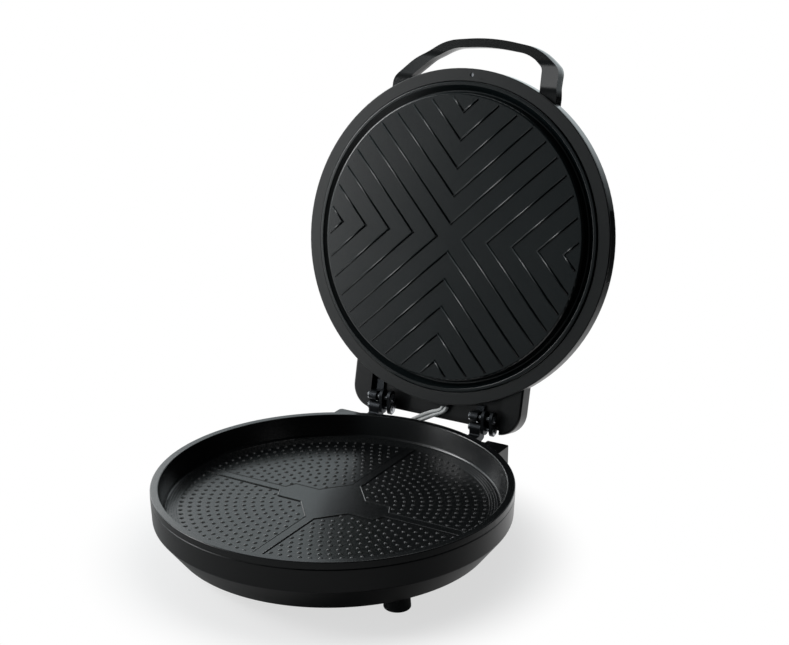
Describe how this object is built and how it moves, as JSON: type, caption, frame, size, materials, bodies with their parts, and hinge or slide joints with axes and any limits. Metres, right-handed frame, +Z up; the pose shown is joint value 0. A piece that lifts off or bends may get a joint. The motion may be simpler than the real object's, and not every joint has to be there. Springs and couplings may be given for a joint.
{
  "type": "double-sided electric baking pan",
  "caption": "Countertop electric baking pan: round dished lower pan, hinged lid with a ribbed upper plate and a loop handle, lid standing open on floating link hinges.",
  "frame": {"origin": "on the table, below the middle of the whole object's bounding box with the lid open", "axes": "+Z up; -Y towards the user at the front; +Y towards the hinge; +X to the right as seen from the front"},
  "size_m": [0.3266, 0.4696, 0.4186],
  "materials": {
    "pan_coating": "satin non-stick coating",
    "plate_coating": "satin non-stick coating",
    "matt_housing": "matt",
    "gloss_cover": "high gloss",
    "ring_plastic": "fine matt",
    "handle_satin": "satin",
    "foot_rubber": "matt",
    "hinge_steel": "dark satin",
    "pin_steel": "turned",
    "screw_steel": "zinc plated",
    "shield_steel": "bright",
    "element_steel": "heat-dulled",
    "brass_parts": "plain",
    "ceramic": "glazed ceramic",
    "sensor_case": "plain",
    "fuse_sleeve": "woven glass sleeve",
    "lead_sleeve": "braided glass sleeve",
    "wire_cover": "silicone",
    "red_lens": "tinted",
    "green_lens": "tinted"
  },
  "bodies": {
    "base": {"lower_pan": "pan_coating", "base_housing": "matt_housing", "base_bottom_cover": "matt_housing", "cover_screws": "screw_steel", "foot_front_left": "foot_rubber", "foot_front_right": "foot_rubber", "foot_rear_left": "foot_rubber", "foot_rear_right": "foot_rubber", "foot_screws": "screw_steel", "lower_element": "element_steel", "lower_element_clips": "screw_steel", "lower_heat_shield": "shield_steel", "lower_shield_screws": "screw_steel", "lower_thermostat": "sensor_case", "lower_thermal_fuse": "fuse_sleeve", "lower_fuse_clip": "screw_steel", "inlet_socket": "matt_housing", "inlet_pins": "brass_parts", "terminal_block": "ceramic", "terminal_screws": "brass_parts", "base_wires": "wire_cover", "hinge_knuckle_left": "hinge_steel", "lower_hinge_pin_left": "pin_steel", "hinge_knuckle_right": "hinge_steel", "lower_hinge_pin_right": "pin_steel", "knuckle_screws": "screw_steel", "lower_pin_clips": "screw_steel", "base_grommet": "foot_rubber", "lid_lead": "lead_sleeve"},
    "hinge_links": {"hinge_link_left": "hinge_steel", "hinge_link_right": "hinge_steel"},
    "lid": {"upper_hinge_pin_left": "pin_steel", "hinge_ear_left": "hinge_steel", "upper_hinge_pin_right": "pin_steel", "hinge_ear_right": "hinge_steel", "ear_screws": "screw_steel", "upper_pin_clips": "screw_steel", "lid_frame": "ring_plastic", "lid_cover_front": "gloss_cover", "lid_cover_rear": "matt_housing", "handle_underside": "handle_satin", "handle_top": "gloss_cover", "handle_screws": "screw_steel", "upper_plate": "plate_coating", "upper_element": "element_steel", "upper_element_clips": "screw_steel", "upper_heat_shield": "shield_steel", "upper_shield_screws": "screw_steel", "upper_thermostat": "sensor_case", "upper_thermal_fuse": "fuse_sleeve", "upper_fuse_clip": "screw_steel", "lid_grommet": "foot_rubber", "lid_wires": "wire_cover", "heating_lens": "red_lens", "ready_lens": "green_lens", "recess_screw": "screw_steel"}
  },
  "joints": [
    {"name": "link_swing", "type": "hinge", "parent": "base", "child": "hinge_links", "pos_m": [0, 0.10566, 0.0625], "axis": [1, 0, 0], "range_deg": [0, 90], "deforming": ["lid_lead"]},
    {"name": "lid_tilt", "type": "hinge", "parent": "hinge_links", "child": "lid", "pos_m": [0, 0.10566, 0.0735], "axis": [1, 0, 0], "range_deg": [0, 13]}
  ]
}
